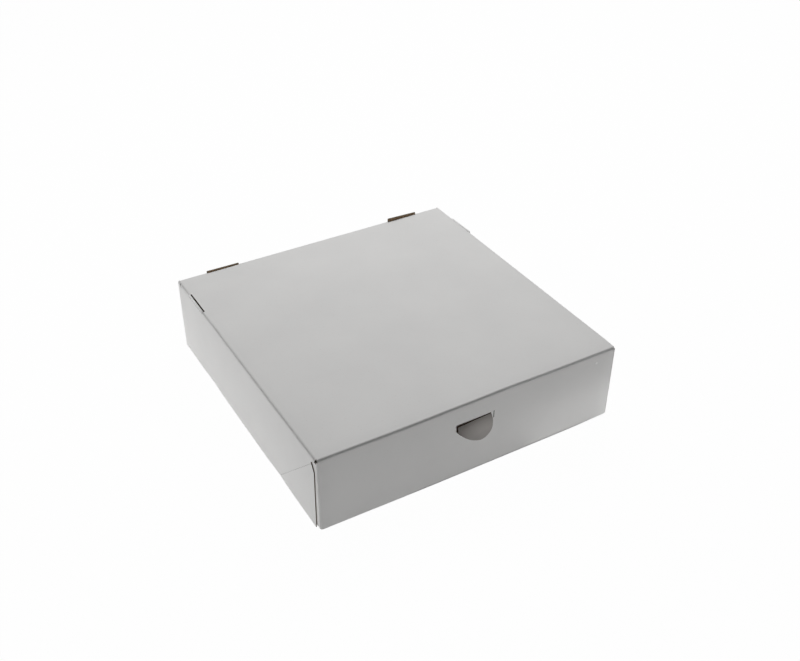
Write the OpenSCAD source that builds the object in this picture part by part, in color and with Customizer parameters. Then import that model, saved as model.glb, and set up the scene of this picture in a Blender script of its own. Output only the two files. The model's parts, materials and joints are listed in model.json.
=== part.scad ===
// Pizza box folded from one sheet of thin corrugated board, shown closed.
// The front faces -Y and the box stands on the underside of its tray, at z = 0.

/* [Box] */
// Outside width of the lid
box_w = 200; // [160:1:320]
// Outside depth of the lid
box_d = 200; // [160:1:320]
// Height of the lid's top above the table
box_h = 52; // [44:1:70]
// Thickness of the board
board_t = 1.2; // [1:0.1:1.8]

/* [Folds] */
// Outside radius of a fold
fold_r = 1.2; // [0.8:0.1:1.5]
// Radius of the score pressed along a fold
score_r = 0.9; // [0.6:0.05:1]
// Width of the diagonal crease in the lid's sides
crease_w = 0.6; // [0.4:0.1:1]
// Depth of the diagonal crease
crease_depth = 0.25; // [0.1:0.05:0.4]

/* [Lid] */
// Gap between the table and the lid's front
front_lift = 0.6; // [0.4:0.1:2]
// Gap between the table and the lid's sides
side_lift = 1.8; // [0.8:0.1:3]
// Distance from the front face back to the front edge of a side
side_setback = 2.6; // [2:0.1:4]
// Distance from the front face back to the trimmed top corner of a side
trim_back = 6.2; // [5:0.1:8]
// Depth of the trimmed corner's upper end below the lid's top
trim_top = 4.1; // [3:0.1:5]
// Depth of the trimmed corner's lower end below the lid's top
trim_low = 8.9; // [7:0.1:11]
// Length cut off each front corner of the top
top_trim = 1.4; // [0.8:0.1:2]
// Radius of the front panel's lower corners
front_corner_r = 3; // [1:0.5:5]
// Length of the short relief cut near each rear corner of the sides
relief_len = 3.4; // [2:0.2:5]
// Width of the relief cut
relief_w = 0.8; // [0.5:0.1:1.2]

/* [Thumb tab] */
// Width of the thumb tab's opening
thumb_w = 25.4; // [20:0.2:32]
// Height of the straight slit at each end of the tab
thumb_slit = 4.6; // [3:0.2:7]
// Depth of the thumb tab's crease below its slits
thumb_fall = 12.2; // [8:0.1:18]
// How far the crease is drawn down on the right and up on the left
thumb_skew = 3.5; // [0:0.1:5]
// Distance from the lid's top down to the tab's straight cut
thumb_drop = 13.1; // [10:0.1:16]
// How far the tab is pressed in at the middle of its cut
thumb_push = 4.6; // [2:0.1:5]
// Width of the cut around the tab
thumb_gap = 0.55; // [0.3:0.05:0.9]

/* [Vent tabs] */
// Distance from a rear corner to the nearer end of a vent tab
vent_inset = 20; // [12:0.5:30]
// Length of a vent tab
vent_len = 22.5; // [15:0.5:30]
// Rise of the two rear tabs above the lid
rear_rise = 2.2; // [1:0.1:3]
// Rise of the left tab above the lid
left_rise = 2.1; // [1:0.1:3]
// Rise of the right tab, which lies almost flat
right_rise = 0.6; // [0.5:0.1:3]

/* [Tray] */
// Gap between the lid's glued flaps and the tray's sides
side_gap = 0.8; // [0.5:0.1:2]
// Gap between the pressed thumb tab and the tray's front wall
front_gap = 0.8; // [0.6:0.1:3]
// Gap between the tray's walls and the lid's underside
top_gap = 0.5; // [0.3:0.1:2]
// Length of the tray's glued corner flaps
flap_len = 42; // [25:1:60]
// Drop of a corner flap below the wall it is glued to
flap_drop = 2.5; // [1:0.5:6]

/* [Hidden] */
$fn = 64;
half_w = box_w / 2;
half_d = box_d / 2;
hinge_gap = 0.2;
lid_in = half_w - board_t;
flap_in = lid_in - board_t;
tray_half_w = flap_in - side_gap;
rear_half_w = lid_in - side_gap;
thumb_r = thumb_w / 2;
thumb_top = box_h - thumb_drop;
thumb_mid = thumb_top - thumb_slit;
thumb_deepest = 1.03 * thumb_push;
tray_front = -half_d + board_t + thumb_deepest + front_gap;
tray_h = box_h - board_t - top_gap;
vent_far = half_w - vent_inset;
vent_near = vent_far - vent_len;
vent_rear = half_d - vent_inset;
rear_slot = sqrt(pow(rear_rise, 2) + pow(board_t, 2)) + 0.25;

// A board whose outline lies in the YZ plane, from x to x + board_t
module board_x(x, t = board_t) {
    translate([x, 0, 0]) rotate([90, 0, 90]) linear_extrude(t) children();
}

// A board whose outline lies in the XZ plane, from y to y + board_t
module board_y(y, t = board_t) {
    translate([0, y + t, 0]) rotate([90, 0, 0]) linear_extrude(t) children();
}

// Section of the waste outside a rounded fold whose sharp corner is at [0, 0]
// and whose board lies in the quadrant of negative x and negative y
module fold_waste_2d() {
    difference() {
        translate([-fold_r, -fold_r]) square(fold_r + 1);
        translate([-fold_r, -fold_r]) circle(fold_r);
    }
}

// Rounding of a fold along Y, at the corner [x, z], on the side that s gives
module fold_along_y(s, x, z) {
    translate([x, half_d + 1, z]) rotate([90, 0, 0])
        linear_extrude(box_d + 2) mirror([s < 0 ? 1 : 0, 0]) fold_waste_2d();
}

// Rounding of a fold along X, at the corner [y, z], on the side that s gives
module fold_along_x(s, y, z, up = 1) {
    translate([-half_w - 1, y, z]) rotate([90, 0, 90]) linear_extrude(box_w + 2)
        mirror([s < 0 ? 1 : 0, 0]) mirror([0, up < 0 ? 1 : 0]) fold_waste_2d();
}

// Score pressed along a fold that runs in Y
module score_y(x, z) {
    translate([x, half_d + 1, z]) rotate([90, 0, 0]) cylinder(r = score_r, h = box_d + 2);
}

// Score pressed along a fold that runs in X
module score_x(y, z) {
    translate([-half_w - 1, y, z]) rotate([0, 90, 0]) cylinder(r = score_r, h = box_w + 2);
}

// Outline of a lid side in YZ: a notch under the fold leaves a small hole at the front corner
module side_outline() {
    polygon([
        [-half_d, box_h - board_t],
        [-half_d + side_setback, box_h - board_t],
        [-half_d + trim_back, box_h - trim_top],
        [-half_d + side_setback + 0.3, box_h - trim_low],
        [-half_d + side_setback, side_lift],
        [half_d, side_lift],
        [half_d, box_h],
        [-half_d, box_h]
    ]);
}

// Triangular flap that turns back from the front panel and is glued inside a lid side
module glue_flap_outline() {
    reach = box_h - front_lift - trim_top;
    polygon([
        [-half_d, front_lift + board_t],
        [-half_d + reach - board_t, front_lift + board_t],
        [-half_d + board_t, front_lift + reach],
        [-half_d, front_lift + reach]
    ]);
}

// Front panel with rounded lower corners
module front_outline() {
    span = lid_in - front_corner_r;
    translate([-lid_in, front_lift + front_corner_r])
        square([2 * lid_in, box_h - front_lift - front_corner_r]);
    translate([-span, front_lift]) square([2 * span, 2 * front_corner_r]);
    for (s = [-1, 1]) translate([s * span, front_lift + front_corner_r]) circle(front_corner_r);
}

// Height of the thumb tab's crease against the ends of its slits, at an angle round it
function crease_z(a) = thumb_fall * sin(a) + thumb_skew * sin(2 * a);

// Straight-topped opening of the thumb tab, with its crease drawn down on the right
module thumb_outline() {
    steps = 36;
    polygon(concat(
        [[thumb_r, thumb_top], [-thumb_r, thumb_top]],
        [for (i = [0:steps]) let (a = 180 + 180 * i / steps)
            [thumb_r * cos(a), thumb_mid + crease_z(a)]]));
}

// How far the tab is pressed in at a place c across its width, from -1 to 1
function push_at(c) = thumb_push * (1 - 0.45 * c * c - 0.2 * c);

// The thumb tab hangs on its curved crease and is pressed in towards its straight cut.
// Its first row lies inside the panel round the opening, and its second is the crease.
module thumb_tab() {
    steps = 28;
    rows = [-1, 0, 0.25, 0.5, 0.75, 1];
    first_angle = 183;
    sunk = 0.04;
    cut = thumb_top - thumb_gap;
    function tab_point(i, v, back) =
        let (a = first_angle + 2 * (270 - first_angle) * i / steps,
             k = (v < 0 ? thumb_r + board_t / 2 : thumb_r - thumb_gap) / thumb_r,
             low = thumb_mid + k * crease_z(a),
             lean = max(v, 0),
             sway = 1 - pow(1 - lean, 2))
        [k * thumb_r * cos(a),
         -half_d + sunk + push_at(cos(a)) * sway + back * (board_t - 2 * sunk),
         low + (cut - low) * lean];
    cols = steps + 1;
    layer = cols * len(rows);
    points = [for (b = [0, 1]) for (v = rows) for (i = [0:steps]) tab_point(i, v, b)];
    function at(b, j, i) = b * layer + j * cols + i;
    last = len(rows) - 1;
    faces = concat(
        [for (j = [0:last - 1]) for (i = [0:steps - 1]) each [
            [at(0, j, i), at(0, j + 1, i), at(0, j + 1, i + 1)],
            [at(0, j, i), at(0, j + 1, i + 1), at(0, j, i + 1)],
            [at(1, j, i), at(1, j + 1, i + 1), at(1, j + 1, i)],
            [at(1, j, i), at(1, j, i + 1), at(1, j + 1, i + 1)]]],
        [for (i = [0:steps - 1]) each [
            [at(0, 0, i), at(0, 0, i + 1), at(1, 0, i + 1)],
            [at(0, 0, i), at(1, 0, i + 1), at(1, 0, i)],
            [at(0, last, i), at(1, last, i + 1), at(0, last, i + 1)],
            [at(0, last, i), at(1, last, i), at(1, last, i + 1)]]],
        [for (j = [0:last - 1]) each [
            [at(0, j, 0), at(1, j + 1, 0), at(0, j + 1, 0)],
            [at(0, j, 0), at(1, j, 0), at(1, j + 1, 0)],
            [at(0, j, steps), at(0, j + 1, steps), at(1, j + 1, steps)],
            [at(0, j, steps), at(1, j + 1, steps), at(1, j, steps)]]]);
    polyhedron(points, faces);
}

// Top, sides, front and glued flaps of the lid before its folds are shaped
module lid_boards() {
    intersection() {
        board_x(-half_w, box_w) side_outline();
        difference() {
            translate([-half_w, -half_d, 0]) cube([box_w, box_d, box_h]);
            translate([-lid_in, -half_d - 1, -1])
                cube([2 * lid_in, box_d + 2, box_h - board_t + 1]);
        }
    }
    board_y(-half_d) difference() {
        front_outline();
        thumb_outline();
    }
    for (x = [-lid_in, flap_in]) board_x(x) glue_flap_outline();
}

// Forty-five degree cut that parts the lid from the rear wall at their fold
module hinge_mitre() {
    reach = 3 * board_t;
    board_x(-rear_half_w - side_gap, 2 * (rear_half_w + side_gap)) polygon([
        [half_d - hinge_gap - reach, box_h - reach],
        [half_d - hinge_gap + 1, box_h + 1],
        [half_d + 1, box_h + 1],
        [half_d + 1, box_h - reach]
    ]);
}

// Diagonal crease down the outside of one lid side, ahead of which the flap is glued
module diagonal_crease(s) {
    span = sqrt(2) * box_h;
    translate([s * half_w, -half_d + trim_back, box_h - trim_back]) rotate([45, 0, 0])
        translate([-crease_depth, -crease_w / 2, -span])
        cube([2 * crease_depth, crease_w, span]);
}

// Short slanting relief cut near the rear top corner of one lid side
module relief_cut(s) {
    translate([s * (half_w - board_t / 2), half_d - 5, box_h - 3.4]) rotate([-45, 0, 0])
        cube([2 * board_t, relief_w, relief_len], center = true);
}

// Vent tab that stands up from one lid side, beside a slot in the lid's top
module side_tab(s, rise) {
    x = s < 0 ? -half_w : lid_in;
    translate([x, vent_rear - vent_len, box_h - 3 * board_t])
        cube([board_t, vent_len, 3 * board_t + rise]);
}

module side_slot(s, rise) {
    x = s < 0 ? -lid_in : lid_in - rise;
    translate([x, vent_rear - vent_len, box_h - board_t - 1]) cube([rise, vent_len, board_t + 2]);
}

module lid() {
    color("white") {
        difference() {
            lid_boards();
            for (s = [-1, 1]) {
                fold_along_y(s, s * half_w, box_h);
                score_y(s * half_w, box_h);
                diagonal_crease(s);
                relief_cut(s);
                translate([s * half_w, -half_d, box_h]) rotate([0, 0, 45])
                    cube([sqrt(2) * top_trim, sqrt(2) * top_trim, 3 * board_t], center = true);
                translate([s * (vent_near + vent_far) / 2, half_d, box_h])
                    cube([vent_len + 0.8, 2 * rear_slot, 3 * board_t], center = true);
            }
            fold_along_x(-1, -half_d, box_h);
            score_x(-half_d, box_h);
            fold_along_x(1, half_d, box_h);
            hinge_mitre();
            side_slot(-1, left_rise);
            side_slot(1, right_rise);
            corner_folds();
        }
        side_tab(-1, left_rise);
        side_tab(1, right_rise);
        thumb_tab();
    }
}

// Rounding of the upright folds at the front panel's ends
module corner_folds() {
    for (s = [-1, 1]) translate([s * lid_in, -half_d, -1]) linear_extrude(box_h - board_t + 1)
        mirror([s < 0 ? 1 : 0, 0]) mirror([0, 1]) fold_waste_2d();
}

// One tray corner flap, glued inside a wall that stands at y and turned in from side s
module corner_flap(s, y) {
    inner = tray_half_w - board_t;
    board_y(y) polygon([
        [s * inner, board_t],
        [s * (inner - flap_len + flap_drop), board_t],
        [s * (inner - flap_len), board_t + 4 * flap_drop],
        [s * (inner - flap_len), tray_h - 3 * flap_drop],
        [s * (inner - flap_len + flap_drop), tray_h - flap_drop],
        [s * inner, tray_h - flap_drop]
    ]);
}

// Rear wall: its mitred top edge is the fold that carries the lid
module rear_wall() {
    difference() {
        board_x(-rear_half_w, 2 * rear_half_w) polygon([
            [half_d - board_t, 0],
            [half_d, 0],
            [half_d, box_h],
            [half_d - board_t, box_h - board_t]
        ]);
        fold_along_x(1, half_d, box_h);
    }
    for (x = [-vent_far, vent_near]) translate([x, half_d - board_t, box_h - 3 * board_t])
        cube([vent_len, board_t, 3 * board_t + rear_rise]);
}

module tray() {
    color("white") difference() {
        union() {
            translate([-tray_half_w, tray_front, 0])
                cube([2 * tray_half_w, half_d - tray_front, board_t]);
            for (x = [-tray_half_w, tray_half_w - board_t])
                translate([x, tray_front, 0])
                    cube([board_t, half_d - board_t - tray_front, tray_h]);
            translate([-tray_half_w, tray_front, 0]) cube([2 * tray_half_w, board_t, tray_h]);
            rear_wall();
            for (s = [-1, 1], y = [tray_front + board_t, half_d - 2 * board_t]) corner_flap(s, y);
        }
        for (s = [-1, 1]) translate([s * tray_half_w, half_d + 1, 0]) rotate([90, 0, 0])
            linear_extrude(box_d + 2) mirror([s < 0 ? 1 : 0, 0]) mirror([0, 1]) fold_waste_2d();
        fold_along_x(-1, tray_front, 0, -1);
        fold_along_x(1, half_d, 0, -1);
    }
}

tray();
lid();
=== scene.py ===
# %% [markdown]
# # A folded pizza box
# The box is one sheet of thin corrugated board, white outside and brown inside, folded shut.
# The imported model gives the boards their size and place. This lesson dresses them: each board
# is made again as a folded sheet with two papers, and rides where the solid was.

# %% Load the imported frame
import json
import math
import bmesh
import bpy
from mathutils import Matrix, Vector


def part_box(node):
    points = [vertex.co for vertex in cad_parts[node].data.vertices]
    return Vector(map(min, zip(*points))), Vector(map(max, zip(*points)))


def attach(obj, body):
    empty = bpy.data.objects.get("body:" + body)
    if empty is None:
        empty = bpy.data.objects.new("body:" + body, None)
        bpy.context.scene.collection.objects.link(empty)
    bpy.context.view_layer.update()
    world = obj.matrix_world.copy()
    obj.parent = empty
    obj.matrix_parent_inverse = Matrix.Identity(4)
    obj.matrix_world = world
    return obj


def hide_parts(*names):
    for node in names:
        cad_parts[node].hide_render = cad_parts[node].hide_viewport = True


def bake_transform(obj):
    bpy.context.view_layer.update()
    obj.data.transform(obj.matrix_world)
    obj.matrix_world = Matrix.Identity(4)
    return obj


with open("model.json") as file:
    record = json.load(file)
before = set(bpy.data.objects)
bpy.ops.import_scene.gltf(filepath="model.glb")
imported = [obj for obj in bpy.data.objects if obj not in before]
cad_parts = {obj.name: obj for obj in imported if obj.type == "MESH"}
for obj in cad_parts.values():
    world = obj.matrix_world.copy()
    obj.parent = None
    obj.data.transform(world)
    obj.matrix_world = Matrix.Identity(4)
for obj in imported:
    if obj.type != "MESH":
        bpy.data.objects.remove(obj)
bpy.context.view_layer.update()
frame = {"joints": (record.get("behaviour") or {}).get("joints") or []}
lid_low, lid_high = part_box("lid")
tray_low, tray_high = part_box("tray")
print("lid", lid_low, lid_high, "tray", tray_low, tray_high)

# %% [markdown]
# ## Camera
# The photograph looks down on the front left corner. A camera can be turned by eye until the
# picture looks alike, but then the edges are some pixels off. Here the lens, the place and a
# slight roll were worked out from the outline of the box, so that both pictures line up.

# %% Place the camera
AZIMUTH = math.radians(-30.61)
ELEVATION = math.radians(35.38)
ROLL = math.radians(0.335)
DISTANCE = 0.67104
PAN_RIGHT = 0.00812
PAN_UP = 0.03094
LENS = 46.263
SENSOR_WIDTH = 36.0
NEAREST = 0.01

back = Vector((
    math.sin(AZIMUTH) * math.cos(ELEVATION),
    -math.cos(AZIMUTH) * math.cos(ELEVATION),
    math.sin(ELEVATION),
))
level = Vector((math.cos(AZIMUTH), math.sin(AZIMUTH), 0.0))
upright = back.cross(level)
right = math.cos(ROLL) * level + math.sin(ROLL) * upright
up = math.cos(ROLL) * upright - math.sin(ROLL) * level

camera_data = bpy.data.cameras.new("camera")
camera_data.lens = LENS
camera_data.sensor_width = SENSOR_WIDTH
camera_data.sensor_fit = "HORIZONTAL"
camera_data.clip_start = NEAREST
camera = bpy.data.objects.new("camera", camera_data)
turn = Matrix((right, up, back)).transposed().to_4x4()
place = DISTANCE * back + PAN_RIGHT * right + PAN_UP * up
camera.matrix_world = Matrix.Translation(place) @ turn
bpy.context.scene.collection.objects.link(camera)
bpy.context.scene.camera = camera
print("camera at", [round(v, 3) for v in place])

# %% [markdown]
# ## Floor
# The box stands on a white table in a white room. More light would whiten the table, but it
# would bleach the box too. So the table is pale, and a little light of its own, seen only by
# the camera and in reflections, lifts it to white while the shadow of the box stays on it.

# %% Lay the floor
FLOOR_SIZE = 6.0
FLOOR_DROP = 0.0002
FLOOR_LIFT = 0.985
FLOOR_GREY = (0.85, 0.85, 0.85, 1.0)


def seen_part(nodes, links):
    """One for what the camera sees, straight or in a reflection, and nothing for other rays."""
    ray = nodes.new("ShaderNodeLightPath")
    seen = nodes.new("ShaderNodeMath")
    seen.operation = "MAXIMUM"
    links.new(ray.outputs["Is Camera Ray"], seen.inputs[0])
    links.new(ray.outputs["Is Glossy Ray"], seen.inputs[1])
    return seen.outputs[0]


def blend_to(share, first, second, output, nodes, links):
    """Mixes two shaders by a share and joins them to the output."""
    mix = nodes.new("ShaderNodeMixShader")
    links.new(share, mix.inputs["Fac"])
    links.new(first.outputs[0], mix.inputs[1])
    links.new(second.outputs[0], mix.inputs[2])
    links.new(mix.outputs[0], output.inputs["Surface"])


def floor_material():
    material = bpy.data.materials.new("floor")
    material.use_nodes = True
    nodes, links = material.node_tree.nodes, material.node_tree.links
    nodes.clear()
    output = nodes.new("ShaderNodeOutputMaterial")
    matt = nodes.new("ShaderNodeBsdfDiffuse")
    matt.inputs["Color"].default_value = FLOOR_GREY
    glow = nodes.new("ShaderNodeEmission")
    share = nodes.new("ShaderNodeMath")
    share.operation = "MULTIPLY"
    share.inputs[1].default_value = FLOOR_LIFT
    links.new(seen_part(nodes, links), share.inputs[0])
    blend_to(share.outputs[0], matt, glow, output, nodes, links)
    return material


bpy.ops.object.select_all(action="DESELECT")
bpy.ops.mesh.primitive_plane_add(size=FLOOR_SIZE, location=(0, 0, -FLOOR_DROP))
floor = bpy.context.object
floor.name = "floor"
floor.data.materials.append(floor_material())
print("floor", FLOOR_SIZE, "m wide")

# %% [markdown]
# ## Lamps and room
# Soft light comes mostly from the rear right. One large lamp would be simpler, but it would not
# give each face the shade that it has in the photograph. So several lamps share the light, and
# two of them lie on the table and stand for what the table throws back. The room is white to
# look at and gives no light.

# %% Hang the lamps
BOX = (0.0, 0.0, 0.04)
ON_TABLE = 0.0006


def soft_lamp(name, place, aim, size, power):
    """A square or oblong lamp that the camera does not see."""
    data = bpy.data.lights.new(name, "AREA")
    data.shape = "RECTANGLE"
    data.size, data.size_y = size
    data.energy = power
    lamp = bpy.data.objects.new(name, data)
    direction = Vector(aim) - Vector(place)
    lamp.rotation_euler = direction.to_track_quat("-Z", "Y").to_euler()
    lamp.location = place
    lamp.visible_camera = False
    bpy.context.scene.collection.objects.link(lamp)
    return lamp


def table_lamp(name, x, y, size, power):
    """A lamp that lies on the table and shines straight up."""
    return soft_lamp(name, (x, y, ON_TABLE), (x, y, 1.0), size, power)


lamps = (
    soft_lamp("rear_right_lamp", (0.5, 0.5, 0.9), BOX, size=(0.6, 0.6), power=6.04),
    soft_lamp("rear_lamp", (0.0, 0.4, 0.55), BOX, size=(0.4, 0.4), power=0.7),
    soft_lamp("left_lamp", (-0.75, 0.35, 0.35), BOX, size=(0.4, 0.4), power=1.785),
    table_lamp("table_lamp", 0.02, -0.03, size=(0.48, 0.48), power=0.335),
    table_lamp("front_lamp", 0.13, -0.176, size=(0.18, 0.15), power=0.02),
    soft_lamp("right_lamp", (0.55, -0.6, 0.35), BOX, size=(0.3, 0.3), power=0.487),
)
print("lamps", [lamp.name for lamp in lamps])


# %% Paint the room
def white_room():
    """A room that is white to the camera and in reflections, and gives no light of its own."""
    world = bpy.data.worlds.new("room")
    world.use_nodes = True
    nodes, links = world.node_tree.nodes, world.node_tree.links
    nodes.clear()
    output = nodes.new("ShaderNodeOutputWorld")
    dark = nodes.new("ShaderNodeBackground")
    dark.inputs["Strength"].default_value = 0.0
    shown = nodes.new("ShaderNodeBackground")
    shown.inputs["Color"].default_value = (1.0, 1.0, 1.0, 1.0)
    blend_to(seen_part(nodes, links), dark, shown, output, nodes, links)
    return world


bpy.context.scene.world = white_room()
bpy.context.scene.view_settings.view_transform = "Standard"
print("room", bpy.context.scene.world.name)

# %% [markdown]
# ## Sizes
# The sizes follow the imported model: a box two hundred millimetres square and fifty-two high,
# of board a little over a millimetre thick. The large ones could be typed in, but read from the
# frame they stay true when the model changes. The hinge of the lid is its rear top edge.

# %% Read the sizes
MM = 0.001
HALF = lid_high[0]
TOP = frame["joints"][0]["pos_m"][2]
BOARD = 1.2 * MM
SIDE_INSET = 1.2 * MM
TOP_GAP = 0.5 * MM
FOLD_TURN = 1.3 * MM
REAR_HALF = tray_high[0]
TRAY_HALF = REAR_HALF - SIDE_INSET
TRAY_FRONT = tray_low[1]
TRAY_TOP = TOP - BOARD - TOP_GAP
TINY = 0.05 * MM
print("half", HALF, "top", TOP, "tray half", TRAY_HALF, "tray front", TRAY_FRONT)

# %% [markdown]
# ## Papers
# The board shows five papers: the white outside, the brown inside, the cut edge, the scored fold
# and the thumb tab. All but the white carry painted shade, and the scored fold painted light as
# well. A picture of card could be laid on them. Noise and waves in the object's own coordinates
# need no picture and run over the folds without a seam, so each paper is a small set of nodes, and
# one class adds and joins them.

# %% Start a paper
PLAIN = (1.0, 1.0, 1.0)
MIX_SHARE, MIX_FIRST, MIX_SECOND, MIX_RESULT = 0, 6, 7, 2


class Paper:
    """A material with one shader, and short ways to add and join nodes."""

    def __init__(self, name, roughness, specular=0.5):
        self.material = bpy.data.materials.new(name)
        self.material.use_nodes = True
        self.nodes = self.material.node_tree.nodes
        self.links = self.material.node_tree.links
        self.shader = self.nodes["Principled BSDF"]
        self.shader.inputs["Roughness"].default_value = roughness
        self.shader.inputs["Specular IOR Level"].default_value = specular
        self.place = self.nodes.new("ShaderNodeTexCoord").outputs["Object"]

    def math(self, operation, first, second=None):
        node = self.nodes.new("ShaderNodeMath")
        node.operation = operation
        for socket, value in zip(node.inputs, (first, second)):
            if isinstance(value, (int, float)):
                socket.default_value = value
            elif value is not None:
                self.links.new(value, socket)
        return node.outputs[0]

    def noise(self, scale, detail=2.0, stretch=(1.0, 1.0, 1.0)):
        mapping = self.nodes.new("ShaderNodeMapping")
        mapping.inputs["Scale"].default_value = stretch
        node = self.nodes.new("ShaderNodeTexNoise")
        node.inputs["Scale"].default_value = scale
        node.inputs["Detail"].default_value = detail
        self.links.new(self.place, mapping.inputs["Vector"])
        self.links.new(mapping.outputs["Vector"], node.inputs["Vector"])
        return node.outputs["Fac"]

    def near(self, point, reach):
        """One within reach of a point, and nothing beyond."""
        node = self.nodes.new("ShaderNodeVectorMath")
        node.operation = "DISTANCE"
        node.inputs[1].default_value = point
        self.links.new(self.place, node.inputs[0])
        return self.math("LESS_THAN", node.outputs["Value"], reach)

    def axes(self, vector=None):
        """The three parts of a vector, or of the place on the object."""
        node = self.nodes.new("ShaderNodeSeparateXYZ")
        self.links.new(vector or self.place, node.inputs[0])
        return node.outputs["X"], node.outputs["Y"], node.outputs["Z"]

    def ramp(self, value, *stops):
        node = self.nodes.new("ShaderNodeValToRGB")
        ramp = node.color_ramp
        while len(ramp.elements) < len(stops):
            ramp.elements.new(0.5)
        for element, (position, colour) in zip(ramp.elements, stops):
            element.position = position
            element.color = (*colour, 1.0)
        self.links.new(value, node.inputs["Fac"])
        return node.outputs["Color"]

    def mix(self, share, first, second, blend="MIX"):
        node = self.nodes.new("ShaderNodeMix")
        node.data_type = "RGBA"
        node.blend_type = blend
        for number, value in ((MIX_SHARE, share), (MIX_FIRST, first), (MIX_SECOND, second)):
            socket = node.inputs[number]
            if isinstance(value, (int, float)):
                socket.default_value = value
            elif isinstance(value, tuple):
                socket.default_value = (*value, 1.0)
            else:
                self.links.new(value, socket)
        return node.outputs[MIX_RESULT]

    def colour(self, value):
        self.links.new(value, self.shader.inputs["Base Color"])

    def bump(self, height, distance, strength):
        node = self.nodes.new("ShaderNodeBump")
        node.inputs["Distance"].default_value = distance
        node.inputs["Strength"].default_value = strength
        self.links.new(height, node.inputs["Height"])
        self.links.new(node.outputs["Normal"], self.shader.inputs["Normal"])


# %% [markdown]
# ## White liner
# Outside, the board carries a white coated paper. It is faintly mottled, and the wave of the
# paper inside the board shows through as very weak ribs. The ribs could be modelled, but they
# are far finer than a grid, so a bump draws them. A pale speck sits at the right of the front.

# %% Mix the white liner
FLUTE_PITCH = 3.2 * MM
FACES_FRONT = 0.7
COAT_DIM, COAT_BRIGHT = (0.776, 0.771, 0.762), (0.816, 0.811, 0.80)
FLECK = (0.86, 0.85, 0.84)
SPECK_PLACE, SPECK_REACH = (0.0859, -0.1, 0.0451), 0.8 * MM
SPECK = (0.98, 0.98, 0.97)


def ribs(paper):
    """Waves of the flutes, which run across the box and show on every face they cross."""
    _, y, z = paper.axes()
    turns = 2.0 * math.pi / FLUTE_PITCH
    along_box = paper.math("SINE", paper.math("MULTIPLY", y, turns))
    down_front = paper.math("SINE", paper.math("MULTIPLY", z, turns))
    facing = paper.nodes.new("ShaderNodeNewGeometry").outputs["Normal"]
    _, forward, _ = paper.axes(facing)
    on_front = paper.math("GREATER_THAN", paper.math("ABSOLUTE", forward), FACES_FRONT)
    elsewhere = paper.math("SUBTRACT", 1.0, on_front)
    part_front = paper.math("MULTIPLY", down_front, on_front)
    part_other = paper.math("MULTIPLY", along_box, elsewhere)
    return paper.math("ADD", part_front, part_other)


def white_liner():
    paper = Paper("white_liner", roughness=0.55)
    cloud = paper.ramp(paper.noise(22.0, 3.0), (0.3, COAT_DIM), (0.7, COAT_BRIGHT))
    fleck = paper.ramp(paper.noise(900.0), (0.26, FLECK), (0.36, PLAIN))
    coated = paper.mix(0.35, cloud, fleck, "MULTIPLY")
    paper.colour(paper.mix(paper.near(SPECK_PLACE, SPECK_REACH), coated, SPECK))
    weak_ribs = paper.math("MULTIPLY", ribs(paper), 0.5)
    grain = paper.noise(1600.0, 3.0)
    paper.bump(paper.math("ADD", weak_ribs, grain), distance=0.012 * MM, strength=0.6)
    return paper.material


# %% [markdown]
# ## Kraft liner
# Inside, the board shows plain brown paper with fibres drawn out across the box, a few dark
# specks and the same ribs a little stronger, with painted shade in their valleys. Fibres could be
# strokes of a brush, but noise that is stretched one way gives them everywhere at once.

# %% Mix the kraft liner
FIBRE_STRETCH = (0.45, 1.0, 1.0)
KRAFT_DARK, KRAFT_LIGHT = (0.34, 0.225, 0.135), (0.43, 0.298, 0.186)
KRAFT_SPECK = (0.55, 0.5, 0.45)
# Painted shade: the valleys of the ribs are drawn a little darker
VALLEY_SHADE = (0.93, 0.93, 0.93)


def kraft_liner():
    paper = Paper("kraft_liner", roughness=0.75, specular=0.2)
    wave = ribs(paper)
    fibre = paper.noise(1100.0, 4.0, FIBRE_STRETCH)
    brown = paper.ramp(fibre, (0.28, KRAFT_DARK), (0.72, KRAFT_LIGHT))
    speck = paper.ramp(paper.noise(1500.0, 1.0), (0.27, KRAFT_SPECK), (0.34, PLAIN))
    flecked = paper.mix(0.6, brown, speck, "MULTIPLY")
    half_wave = paper.math("MULTIPLY_ADD", wave, 0.5)
    valley_shade = paper.ramp(half_wave, (0.2, VALLEY_SHADE), (0.8, PLAIN))
    paper.colour(paper.mix(1.0, flecked, valley_shade, "MULTIPLY"))
    strong_ribs = paper.math("MULTIPLY", wave, 0.8)
    paper.bump(paper.math("ADD", strong_ribs, fibre), distance=0.02 * MM, strength=0.6)
    return paper.material


# %% [markdown]
# ## Cut edge
# A cut edge shows two papers with the wave between them. The wave could be modelled, but its
# hundreds of tiny folds would cost many faces. So the rim gets a chart that counts flutes along
# the edge and runs from nothing to one across the board, and the material draws the wave there,
# with the hollows between the papers in painted shade.

# %% Mix the cut edge
WAVE_HEIGHT = 0.34
FLUTE_HALF = 0.12
LINER_FROM = 0.36
# Painted shade: the hollows between the flute and the liners are drawn dark brown
HOLLOW_SHADE = (0.075, 0.052, 0.034)
EDGE_DARK, EDGE_LIGHT = (0.20, 0.15, 0.108), (0.31, 0.245, 0.18)


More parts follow.
